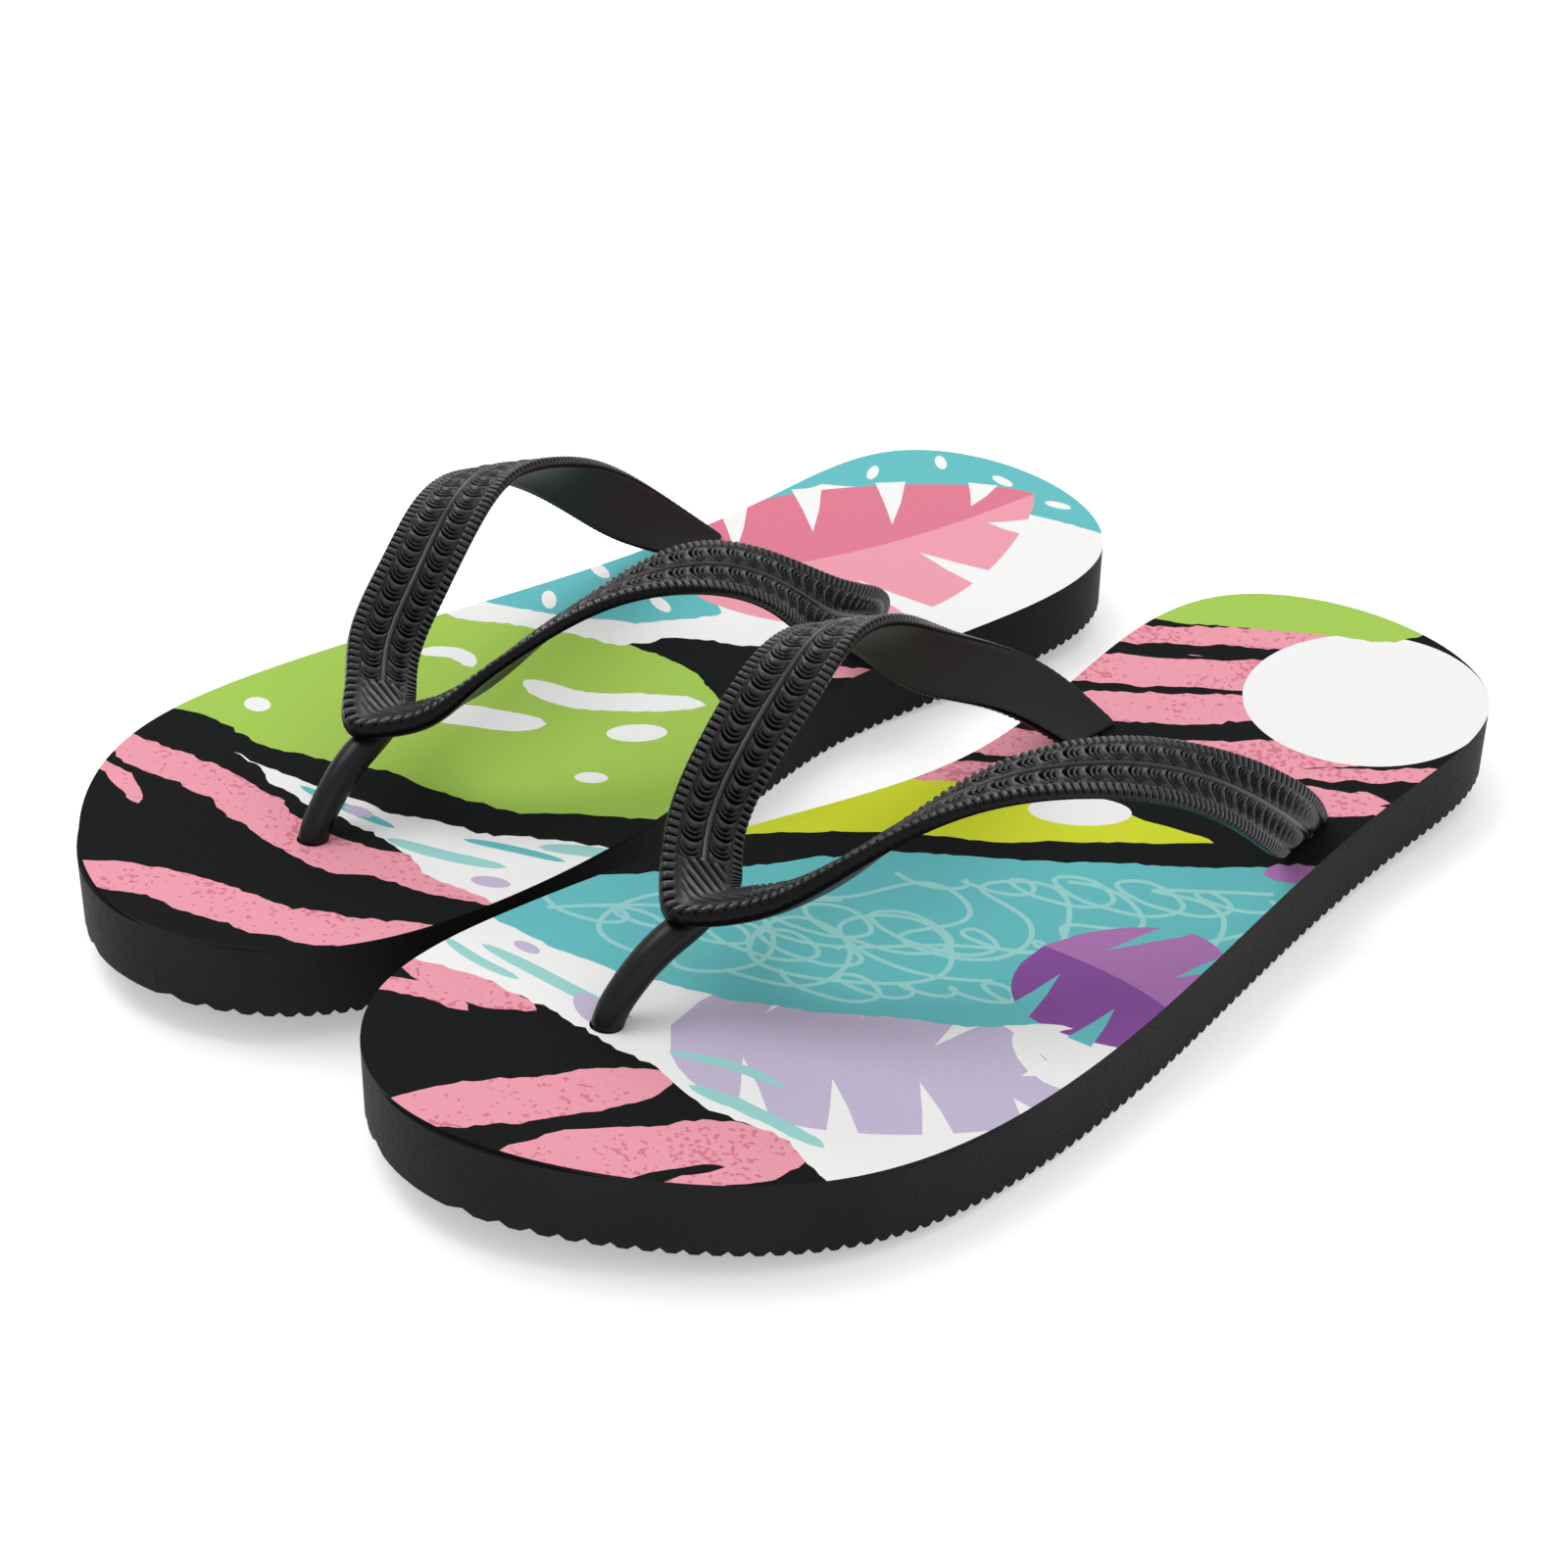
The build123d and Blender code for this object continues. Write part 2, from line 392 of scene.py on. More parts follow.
# ------------------------------------------------------ the print, as areas painted in order
GROUND = [(-80, -160), (80, -160), (80, 160), (-80, 160)]  # larger than any footbed
TORN_STEP = 1.7  # between the points of a torn edge
TORN_FINE, TORN_BROAD = 0.35, 0.75  # how far it strays at each point, and at every fourth one
BRUSH_STEP = 1.6  # between the points of a brush stroke
BRUSH_FINE, BRUSH_BROAD = 0.3, 0.6  # the same for a stroke, and at every third point
BRUSH_FULLNESS = 0.6  # the smaller, the more even a stroke's width
SCRIBBLE_STEP = 1.2
SCRIBBLE_WIDTH = 1.1
SCRIBBLE = "pale_teal"
OVAL_POINTS = 1.6  # for each millimetre of its longer side
LEAF_STEPS = 30
LEAF_FULLNESS = 0.75  # 1 gives a plain sine, and less is rounder and widest nearer its base
LEAF_BEND = 0.08  # of its width, at its middle
SLITS_FROM, SLITS_SPAN = 0.2, 0.62  # where a leaf's slits lie, in shares of its length
SLIT_MOUTH, SLIT_ROOT = 0.08, -0.04  # how far along from there its ends lie
SLIT_STARTS = (0.3, 0.4)  # of the way out from the root, in turn
SLIT_OVERRUN = 0.05  # past the leaf's edge
SLIT_WIDTH = 0.035  # half of it, as a share of the leaf's width
SLIT_FLARE = 1.6  # wider at its mouth


class Print:
    """One footbed's print: closed shapes in the sandal's frame, each over the ones before it."""

    def __init__(self, seed):
        self.chance = np.random.default_rng(seed)
        self.shapes = []

    def area(self, colour, points, rough=0.0):
        """A closed shape. rough is how far its torn edge strays, 1 for the usual spread."""
        line = np.vstack([points, points[:1]]).astype(float)
        if rough:
            line = self.tear(line, rough)
        self.shapes.append((colour, line[:-1]))

    def tear(self, line, rough):
        """The same line with an uneven torn edge."""
        along = lengths(line)
        where = np.linspace(0, along[-1], max(4, int(along[-1] / TORN_STEP)))
        even = np.stack([np.interp(where, along, line[:, k]) for k in (0, 1)], axis=1)
        fine = self.chance.normal(0, TORN_FINE, len(even))
        broad = np.interp(where, where[::4], self.chance.normal(0, TORN_BROAD, len(where[::4])))
        stray = (fine + broad) * rough
        stray[[0, -1]] = 0
        return even + beside(even) * stray[:, None]

    def stroke(self, colour, points, width, rough=0.0, blunt=0.6):
        """A brush stroke along a curve, thick in its middle and pointed or blunt at its ends."""
        line = curve(points, BRUSH_STEP)
        out = beside(line)
        share = np.linspace(-1, 1, len(line))
        half = width / 2 * (1 - np.abs(share) ** (2 / blunt)) ** BRUSH_FULLNESS
        sides = []
        for way in (1, -1):
            stray = self.chance.normal(0, BRUSH_FINE, len(line)) * rough
            swings = self.chance.normal(0, BRUSH_BROAD, len(share[::3]))
            broad = np.interp(share, share[::3], swings) * rough
            sides.append(line + out * (way * half + (stray + broad) * (half > 0.1))[:, None])
        self.shapes.append((colour, np.vstack([sides[0], sides[1][-2:0:-1]])))

    def scribble(self, points):
        """A loose line of even width, in short straight pieces because it crosses itself."""
        line = curve(points, SCRIBBLE_STEP)
        out = beside(line) * SCRIBBLE_WIDTH / 2
        left, right = line + out, line - out
        for corners in zip(left[:-1], left[1:], right[1:], right[:-1]):
            self.shapes.append((SCRIBBLE, np.array(corners)))

    def oval(self, colour, middle, size, turn=0.0):
        """An ellipse with its own length and width, turned this many degrees."""
        points = circle((0, 0), 1, max(14, int(max(size) * OVAL_POINTS))) * size / 2
        c, s = cos(radians(turn)), sin(radians(turn))
        self.shapes.append((colour, points @ np.array([[c, s], [-s, c]]) + middle))

    def leaf(self, colour, gap_colour, base, tip, width, slits, light=None):
        """A pointed leaf with slits cut in from both edges. light is a colour for one half."""
        base, tip = np.array(base, float), np.array(tip, float)
        run = tip - base
        out = np.array([-run[1], run[0]]) / np.linalg.norm(run)
        share = np.linspace(0, 1, LEAF_STEPS)
        half = width / 2 * np.sin(pi * share**LEAF_FULLNESS) ** LEAF_FULLNESS
        bend = np.sin(pi * share) * width * LEAF_BEND
        spine = base + share[:, None] * run + out * bend[:, None]
        edges = [spine + out * half[:, None], spine - out * half[:, None]]
        self.shapes.append((colour, np.vstack([edges[0], edges[1][-2:0:-1]])))
        if light:
            self.shapes.append((light, np.vstack([edges[0], spine[-2:0:-1]])))
        for number in range(slits):
            along = SLITS_FROM + SLITS_SPAN * number / max(slits - 1, 1)
            for edge in edges:
                mouth = np.array([np.interp(along + SLIT_MOUTH, share, edge[:, k]) for k in (0, 1)])
                root = np.array([np.interp(along + SLIT_ROOT, share, spine[:, k]) for k in (0, 1)])
                reach = mouth - root
                inner = root + reach * SLIT_STARTS[number % 2]
                outer = mouth + reach * SLIT_OVERRUN
                side = np.array([-reach[1], reach[0]]) / np.linalg.norm(reach) * width * SLIT_WIDTH
                middle, flare = (inner + outer) / 2, side * SLIT_FLARE
                points = [inner, middle + side, outer + flare, outer - flare, middle - side * 0.7]
                self.shapes.append((gap_colour, np.array(points)))


LOOP_POINTS = 7  # in each loop
LOOP_FLAT, LOOP_LEAN = 0.55, 0.4
LOOPS = (  # scribbled loops on the left footbed: from, to, how wide, how many
    ((44, 70), (-2, 40), 9, 5),
    ((16, 40), (-34, 2), 12, 5),
    ((-4, 52), (-42, 14), 8, 6),
    ((10, 12), (-44, -34), 10, 6),
)


def loops(start, end, radius, turns):
    """Points of a run of flattened loops, now wide and now narrow, from one place to another."""
    share = np.linspace(0, 1, turns * LOOP_POINTS + 1)[:, None]
    angles = 2 * pi * turns * share
    swell = radius * (0.65 + 0.35 * np.sin(2.3 * pi * share + radius))
    middle = np.array(start, float) + share * (np.array(end, float) - start)
    return middle + swell * np.hstack([np.cos(angles), LOOP_FLAT * np.sin(angles + LOOP_LEAN)])


def left_print():
    """Left footbed: torn fields of colour, from the striped toe to the striped heel."""
    art = Print(7)
    art.area("black", GROUND)
    # stripes at the toe
    art.stroke("pink", [(62, 96), (44, 105), (30, 102), (20, 98)], 9, 0.7)
    art.stroke("pink", [(60, 112), (46, 116), (37, 110), (27, 108)], 5, 0.5)
    art.stroke("pink", [(10, 146), (4, 128), (-3, 112), (-11, 92)], 13, 0.7)
    art.stroke("pink", [(-16, 140), (-23, 119), (-32, 103), (-40, 88)], 20, 0.8)
    art.stroke("black", [(-30, 124), (-32, 112), (-36, 103)], 3, 0.4)
    # white paper with a lilac leaf
    paper = [
        (60, 108), (33, 99), (19, 97), (5, 95), (-8, 93), (-22, 94), (-38, 90), (-70, 97), (-70, 15),
        (-38, 26), (60, 84),
    ]
    art.area("white", paper, 0.8)
    art.leaf("lilac", "white", (2, 82), (-62, 42), 52, 4)
    art.stroke("pale_teal", [(-14, 92), (-28, 88), (-42, 86)], 3.4, 0.3)
    art.stroke("pale_teal", [(44, 92), (32, 90), (18, 88), (8, 86)], 3.2)
    art.stroke("pale_teal", [(50, 96), (40, 96), (30, 94)], 2.4)
    art.oval("lilac", (15, 90), (11, 5), -20)
    art.oval("lilac", (38, 86), (6, 3), 10)
    art.stroke("pale_teal", [(-4, 88), (-14, 82), (-25, 79)], 2.6)
    # teal field with loose scribbles
    field = [
        (60, 86), (35, 82), (19, 77), (3, 68), (-13, 56), (-32, 39), (-42, 27), (-70, 10),
        (-70, -66), (-41, -49), (-6, -16), (22, 10), (35, 34), (60, 74),
    ]
    art.area("teal", field, 0.5)
    scribbles = [
        [
            (47, 74), (30, 60), (20, 66), (33, 72), (38, 54), (20, 44), (8, 56), (16, 68), (24, 46),
            (14, 28),
        ],
        [
            (10, 62), (-4, 52), (2, 38), (16, 40), (12, 54), (-8, 46), (-16, 30), (0, 22), (8, 34),
            (-10, 36), (-24, 26),
        ],
        [
            (28, 36), (14, 26), (6, 10), (-6, 14), (-2, 28), (-18, 22), (-14, 6), (0, 4), (-8, -6),
            (-22, 4), (-30, 18),
        ],
        [
            (-10, -10), (-20, -14), (-30, -8), (-20, 2), (-34, 6), (-44, -8), (-34, -24), (-24, -20),
            (-40, -36),
        ],
        [(42, 66), (26, 50), (8, 44), (-10, 24), (-28, 8), (-46, -24)],
    ]
    for line in scribbles:
        art.scribble(line)
    for start, end, radius, turns in LOOPS:
        art.scribble(loops(start, end, radius, turns))
    # purple leaf at the outer edge
    art.leaf("purple", "teal", (-22, 10), (-66, 12), 44, 3, light="mauve")
    art.stroke("white", [(-66, 30), (-50, 40), (-40, 34), (-44, 26)], 5, 0.4)
    art.stroke("mauve", [(-34, -40), (-42, -48), (-54, -50)], 8)
    # torn black band, then a yellow-green field with an oval
    band = [
        (60, 70), (41, 40), (28, 15), (12, -4), (-6, -20), (-24, -38), (-70, -70), (-70, -90),
        (-28, -58), (-4, -36), (20, -12), (34, 10), (60, 50),
    ]
    art.area("black", band, 0.7)
    field = [
        (60, 50), (40, 20), (27, 4), (10, -10), (-8, -29), (-20, -42), (2, -36), (20, -26),
        (60, -14),
    ]
    art.area("yellow", field, 0.4)
    art.oval("white", (6, -31), (21, 11), 42)
    # stripes to the heel
    stripes = [
        ([(58, -4), (34, -24), (12, -44), (-8, -58), (-36, -78)], 8.0),
        ([(58, -18), (40, -36), (20, -50), (-2, -70), (-24, -92)], 11.5),
        ([(58, -42), (38, -58), (18, -76), (2, -92)], 12.0),
        ([(60, -62), (38, -80), (14, -98), (-10, -112)], 13.0),
        ([(56, -84), (40, -98), (22, -112), (4, -126)], 8.0),
        ([(4, -56), (-14, -72), (-30, -86), (-46, -104)], 4.5),
        ([(-10, -52), (-26, -66), (-44, -80)], 4.5),
    ]
    for points, width in stripes:
        art.stroke("pink", points, width, 0.9, 0.35)
    art.stroke("black", [(44, -84), (30, -94), (20, -102)], 2.0, 0.4)
    art.oval("white", (-8, -106), (52, 52))
    heel = [(60, -96), (41, -104), (22, -116), (2, -128), (-10, -150), (60, -150)]
    art.area("lime", heel, 0.4)
    return art


def right_print():
    """Right footbed: the same family of shapes in another order. x points to the other sandal."""
    art = Print(11)
    art.area("black", GROUND)
    # stripes at the toe
    art.stroke("pink", [(-60, 96), (-40, 94), (-16, 91), (10, 93), (34, 84), (52, 80)], 11, 0.9, 0.4)
    art.stroke("pink", [(-14, 138), (4, 124), (24, 118), (44, 106), (58, 92)], 12, 0.8, 0.5)
    art.stroke("pink", [(-50, 104), (-36, 104), (-24, 108)], 4.0, 0.5)
    # white torn patch with strokes
    patch = [
        (-30, 80), (-8, 76), (12, 72), (32, 62), (70, 36), (70, 80), (52, 80), (37, 84), (14, 80),
        (-6, 83),
    ]
    art.area("white", patch, 0.9)
    art.stroke("teal", [(-10, 79), (2, 78), (16, 76)], 2.6)
    art.stroke("pale_teal", [(18, 80), (30, 76), (42, 70)], 3.6)
    art.stroke("teal", [(28, 69), (38, 64), (48, 60)], 2.4)
    art.oval("lilac", (6, 77), (7, 3.4), -10)
    art.oval("lilac", (44, 76), (8, 4), -30)
    art.stroke("pale_teal", [(40, 60), (48, 54), (58, 48)], 4.0)
    # torn black band, then the lime field with white shapes
    field = [
        (-80, 84), (-55, 76), (-27, 73), (-2, 62), (28, 54), (42, 40), (70, 14), (70, -18), (36, -2),
        (10, -16), (-10, -14), (-29, -6), (-45, 0), (-80, 4),
    ]
    art.area("lime", field, 0.7)
    art.oval("white", (-44, 63), (7, 5.5), 20)
    art.stroke("white", [(-24, 46), (-16, 37), (-4, 30), (4, 24)], 9, 0.3, 0.5)
    art.stroke("white", [(-14, 14), (0, 12), (12, 2), (22, -6)], 7.5, 0.5, 0.5)
    art.oval("white", (20, 13), (13, 7.5), -50)
    art.oval("white", (27, 33), (7, 4.6), -40)
    art.stroke("white", [(-40, 22), (-32, 16), (-26, 18)], 5, 0.3)
    # white torn strip, then a teal field with leaf-shaped dots
    paper = [
        (-80, 10), (-45, 4), (-29, -5), (-10, -12), (-6, -22), (16, -36), (30, -54), (70, -76),
        (70, -160), (-80, -160),
    ]
    art.area("white", paper, 0.9)
    field = [(-80, -4), (-46, -6), (-28, -13), (-14, -23), (-4, -38), (-22, -52), (-80, -70)]
    art.area("teal", field, 0.6)
    for middle, turn in (((-38, -16), 40), ((-30, -28), 70), ((-18, -32), 20), ((-40, -34), 20)):
        art.oval("white", middle, (9, 3.4), turn)
    # black torn area with bits of stripe
    band = [(-8, -15), (12, -30), (29, -55), (70, -70), (70, -20), (38, -4), (10, -15)]
    art.area("black", band, 0.6)
    art.stroke("pink", [(20, -30), (32, -36), (44, -44)], 4.5, 0.7)
    art.stroke("pink", [(34, -14), (44, -24), (56, -34)], 5.0, 0.7)
    # teal heel edge with dots, and a rose leaf
    edge = [(-60, -72), (-33, -86), (-30, -100), (0, -116), (39, -123), (39, -150), (-60, -150)]
    art.area("teal", edge, 0.2)
    for middle, turn in (((4, -128), 10), ((22, -127), -10), ((-14, -126), 40), ((-24, -112), 60)):
        art.oval("white", middle, (7, 2.8), turn)
    art.leaf("rose", "white", (-24, -42), (14, -128), 66, 4, light="blush")
    return art


# ------------------------------------------------------ pieces
GRID_STEP = 4.0  # between the lines across a sheet along which it bends
GRID_LENGTH, GRID_WIDTH = 136.0, 70.0  # how far the lines reach each way, past the sheet's edge
OUTLINE_STEP = 0.7


def inside(points, polygon):
    """Which of these points lie in the closed polygon."""
    x, y = points[:, 0][:, None], points[:, 1][:, None]
    x0, y0 = polygon[:, 0][None], polygon[:, 1][None]
    x1, y1 = np.roll(polygon[:, 0], -1)[None], np.roll(polygon[:, 1], -1)[None]
    spans = (y0 > y) != (y1 > y)
    rise = np.where(y1 == y0, 1e-12, y1 - y0)
    return (spans & (x < (x1 - x0) * (y - y0) / rise + x0)).sum(axis=1) % 2 == 1


def flat_mesh(outlines, lines):
    """Triangles of the plan, cut along these closed outlines and straight lines."""
    coordinates, edges = [], []
    for outline in outlines:
        first, count = len(coordinates), len(outline)
        coordinates += [tuple(point) for point in outline]
        edges += [(first + i, first + (i + 1) % count) for i in range(count)]
    for start, end in lines:
        edges.append((len(coordinates), len(coordinates) + 1))
        coordinates += [start, end]
    made = delaunay_2d_cdt([Vector(c) for c in coordinates], edges, [], 0, 1e-4, False)
    points = np.array([tuple(point) for point in made[0]])
    triangles = np.array([tuple(face) for face in made[2]])
    corners = points[triangles]
    turned = np.cross(corners[:, 1] - corners[:, 0], corners[:, 2] - corners[:, 0])
    triangles[turned < 0] = triangles[turned < 0][:, ::-1]
    return points, triangles, points[triangles].mean(axis=1)


def thickened(points, triangles, low, high):
    """A closed solid on these flat triangles, between two heights given for each point.

    Its first faces are the upper ones, and the last value returned is their number."""
    used, triangles = np.unique(triangles, return_inverse=True)
    triangles = triangles.reshape(-1, 3)
    points, low, high = points[used], low[used], high[used]
    count = len(points)
    sides = np.concatenate([triangles[:, [0, 1]], triangles[:, [1, 2]], triangles[:, [2, 0]]])
    known = {tuple(edge) for edge in sides.tolist()}
    rim = [(a, b) for a, b in known if (b, a) not in known]
    solid = np.vstack([np.column_stack([points, high]), np.column_stack([points, low])])
    faces = [tuple(t) for t in triangles.tolist()]
    faces += [tuple(t) for t in (triangles[:, ::-1] + count).tolist()]
    faces += [(b, a, a + count, b + count) for a, b in rim]
    return solid, faces, len(triangles)


def top_sheet(side, art, colours):
    """The printed fabric over the whole footbed, with its three holes."""
    outline = curve(OUTLINE, OUTLINE_STEP, closed=True)
    holes = [circle(middle, radius) for middle, radius in HOLES]
    printed_lines = [line for _, line in art.shapes]
    rows = np.arange(-GRID_LENGTH, GRID_LENGTH + 0.1, GRID_STEP)
    lines = [((-GRID_WIDTH, y), (GRID_WIDTH, y)) for y in rows]
    points, triangles, middles = flat_mesh([outline, *holes, *printed_lines], lines)
    keep = inside(middles, outline)
    for hole in holes:
        keep &= ~inside(middles, hole)
    triangles, middles = triangles[keep], middles[keep]
    names = list(PRINT_COLOURS)
    slots = np.zeros(len(triangles), int)
    for colour, line in art.shapes:
        low, high = line.min(axis=0), line.max(axis=0)
        near = np.flatnonzero(((middles >= low) & (middles <= high)).all(axis=1))
        if len(near):
            slots[near[inside(middles[near], line)]] = names.index(colour)
    solid, faces, printed = thickened(
        points, triangles, height(SHEET_RADIUS, points[:, 1]), height(FOOTBED_RADIUS, points[:, 1])
    )
    all_slots = np.full(len(faces), len(names))
    all_slots[:printed] = slots
    materials = [colours[name] for name in names] + [colours["edge"]]
    piece = mesh_piece(f"printed_sheet_{side}", solid, faces, side, materials, all_slots, False)
    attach(piece, f"{side}_sandal")
    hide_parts(f"top_sheet_{side}")


# ------------------------------------------------------ strap
ALONG_STEPS = 1240
ACROSS_STEPS = 46
EDGE_STEPS = 5
UNDER_STEPS = 12
UNDER_FIRST = ACROSS_STEPS + EDGE_STEPS  # a ring's first point on the underside
HALF_BAND = BAND_WIDTH / 2

# The band's section, each way from its middle surface
OUTER_FACE = 1.15
CROWN = 0.6  # higher along its middle
UNDER_FACE = 1.2
HOLLOW = 0.75  # of the underside, away from where the arms meet
KEEL = 1.7  # thicker under the band's middle, where they meet
KEEL_FLANKS = 0.25  # what is left of the keel at the band's edges
OVER_EXTRA = 0.35
OVER_FROM, OVER_TO_OUTER, OVER_TO_INNER = 6.0, 56.0, 26.0  # the keel fades out along each arm
OUTER_INSET, UNDER_INSET = 0.25, 0.5  # of the two faces' edges, within the band's width
EDGE_BULGE = 0.45
LIP_LENGTH, LIP_THINNING = 1.5, 0.6  # each end is rounded in thickness
CORNER_LENGTH, CORNER_NARROWING = 2.2, 0.14  # and in width

# The pattern's zones, each as the stretch over which it fades
MEETING_FADE = (8.5, 10.5)  # the ribs give way to the scales, from where the arms meet
END_FADE = (0.6, 1.6)  # all of it stops before each end

# Two lanes of scales
LANE_MIDDLE = 2.85
LANE_HALF = 2.3
LANE_STAGGER = 0.45  # of the pitch
SCALE_PITCH = 4.3
END_PITCH = 1.7
CLOSING_LENGTH = 62.0  # over this last stretch of each arm the pitch shrinks to the end's
SCALE_BOW = 2.7
# Each scale's nested grooves: offset, share of the lane's width, depth and half the line's width
SCALE_GROOVES = ((0.0, 1.0, 0.9, 0.38), (1.2, 0.86, 0.72, 0.32), (2.2, 0.66, 0.6, 0.28))
GROOVE_SHALLOWING = 0.85  # of a groove's depth is lost at the lane's sides
NESTED_FADE = (0.45, 0.75)  # shares of the full pitch below which the inner grooves run out
GROOVE_LIP = 0.4  # of the groove's depth, as the height of the lip beside it

# A thin ridge down the band's middle, between two grooves
SPINE_HEIGHT, SPINE_WIDTH = 0.3, 0.25
SPINE_GROOVE_AT, SPINE_GROOVE = 0.62, 0.22  # the second is both depth and width

# Ribs where the arms meet
RIB_PITCH = 1.75
RIB_HEIGHT = 0.34
RIB_MIDDLE = 6.4  # the ribs' middle, as x
RIB_BEND = 0.06  # turns for each millimetre away from it
RIBS_HEEL_FADE, RIBS_TOE_FADE = (-5.4, -3.4), (1.5, 4.6)  # across the band, on each side
RIBS_EDGE_FADE = (4.0, 5.2)  # on both

# The border along both edges
BORDER_FROM = 5.5
BORDER_PITCH = 1.6
BAR_HEIGHT = 0.22
NOTCH_DEPTH, NOTCH_WIDTH = 0.75, 0.29
GUTTER_AT, GUTTER_DEPTH, GUTTER_WIDTH = 5.1, 0.12, 0.26


def rungs():
    """The band's heel-side and toe-side edge at each station, from the outer hole to the inner."""
    def arm(stations, way, hole):
        end = (*hole, float(height(FOOTBED_RADIUS, hole[1])) + BAND_CLEARANCE, 0, 0)
        for x, y, z, turn, rise in [*stations, end]:
            turn, rise = radians(turn), radians(rise)
            width = np.array([-way * sin(turn) * cos(rise), -cos(turn) * cos(rise), sin(rise)])
            middle = np.array([x, y, z])
            yield middle + HALF_BAND * width, middle - HALF_BAND * width

    outer, inner = list(arm(OUTER_ARM, -1, OUTER_HOLE)), list(arm(INNER_ARM, 1, INNER_HOLE))
    meeting = [(np.array(heel), np.array(toe)) for heel, toe in MEETING]
    return outer[::-1] + meeting + inner


def emboss(away, v, from_end, place):
    """How far the pattern stands out of the band at each point, in millimetres.

    away is the distance along the band from where the arms meet, v the distance across it towards
    the toes, from_end the distance from the band's end, and place the point itself."""
    meeting_zone = 1 - smooth(*MEETING_FADE, away)
    end_zone = 1 - smooth(*END_FADE, from_end)
    plain = (1 - meeting_zone) * (1 - end_zone)
    # Two lanes of scales: nested U-shaped grooves with their closed side towards the toe post. The
    # scales get shorter towards the band's ends.
    lane = np.where(v > 0, 1.0, -1.0)
    b = np.abs(v - lane * LANE_MIDDLE) / LANE_HALF
    start = np.where(lane > 0, 0.0, LANE_STAGGER * SCALE_PITCH)
    closing = away + from_end - CLOSING_LENGTH
    scales = 0.0
    for number, (offset, width, deep, half_line) in enumerate(SCALE_GROOVES):
        bow = SCALE_BOW * width * (1 - np.sqrt(np.clip(1 - (b / width) ** 2, 0, 1)))
        u_line = away - bow + start
        far = np.clip(u_line - closing, 0, CLOSING_LENGTH)
        loss = (SCALE_PITCH - END_PITCH) / CLOSING_LENGTH  # of pitch, for each millimetre
        pitch = SCALE_PITCH - loss * far
        shrink = pitch / SCALE_PITCH
        turns = (u_line - far) / SCALE_PITCH - np.log(shrink) / loss
        off = (turns - np.round(turns)) * pitch
        off = np.where(off < -pitch / 3, off + pitch, off) - offset * shrink
        tapered = deep * (1 - GROOVE_SHALLOWING * (b / width) ** 2)
        tapered = tapered * (1 - smooth(width - 0.1, width, b))
        if number:  # the inner grooves run out where the scales close up into ribs
            tapered = tapered * smooth(*NESTED_FADE, shrink)
        line = half_line * shrink**0.25
        scales = scales - tapered * (bump(off, line) - GROOVE_LIP * bump(off + 2 * line, line))
    scales = scales * plain
    spine_grooves = SPINE_GROOVE * bump(np.abs(v) - SPINE_GROOVE_AT, SPINE_GROOVE)
    spine = (SPINE_HEIGHT * bump(v, SPINE_WIDTH) - spine_grooves) * plain
    # The ribs run across the sandal and fade out towards both edges of the band
    rib_turns = place[..., 1] / RIB_PITCH + RIB_BEND * np.abs(place[..., 0] - RIB_MIDDLE)
    ribs = RIB_HEIGHT * np.sin(2 * pi * rib_turns) * meeting_zone
    ribs = ribs * smooth(*RIBS_HEEL_FADE, v) * (1 - smooth(*RIBS_TOE_FADE, v))
    ribs = ribs * (1 - smooth(*RIBS_EDGE_FADE, np.abs(v)))
    # Border: short bars across both edges, with a gutter inside them
    bar_turns = away / BORDER_PITCH
    notch = bump((bar_turns - np.round(bar_turns)) * BORDER_PITCH, NOTCH_WIDTH)
    border = smooth(BORDER_FROM - 0.2, BORDER_FROM + 0.2, np.abs(v))
    bars = (BAR_HEIGHT - NOTCH_DEPTH * notch) * border
    gutter = GUTTER_DEPTH * bump(np.abs(v) - GUTTER_AT, GUTTER_WIDTH)
    return scales + spine + ribs + (bars - gutter) * (1 - end_zone)


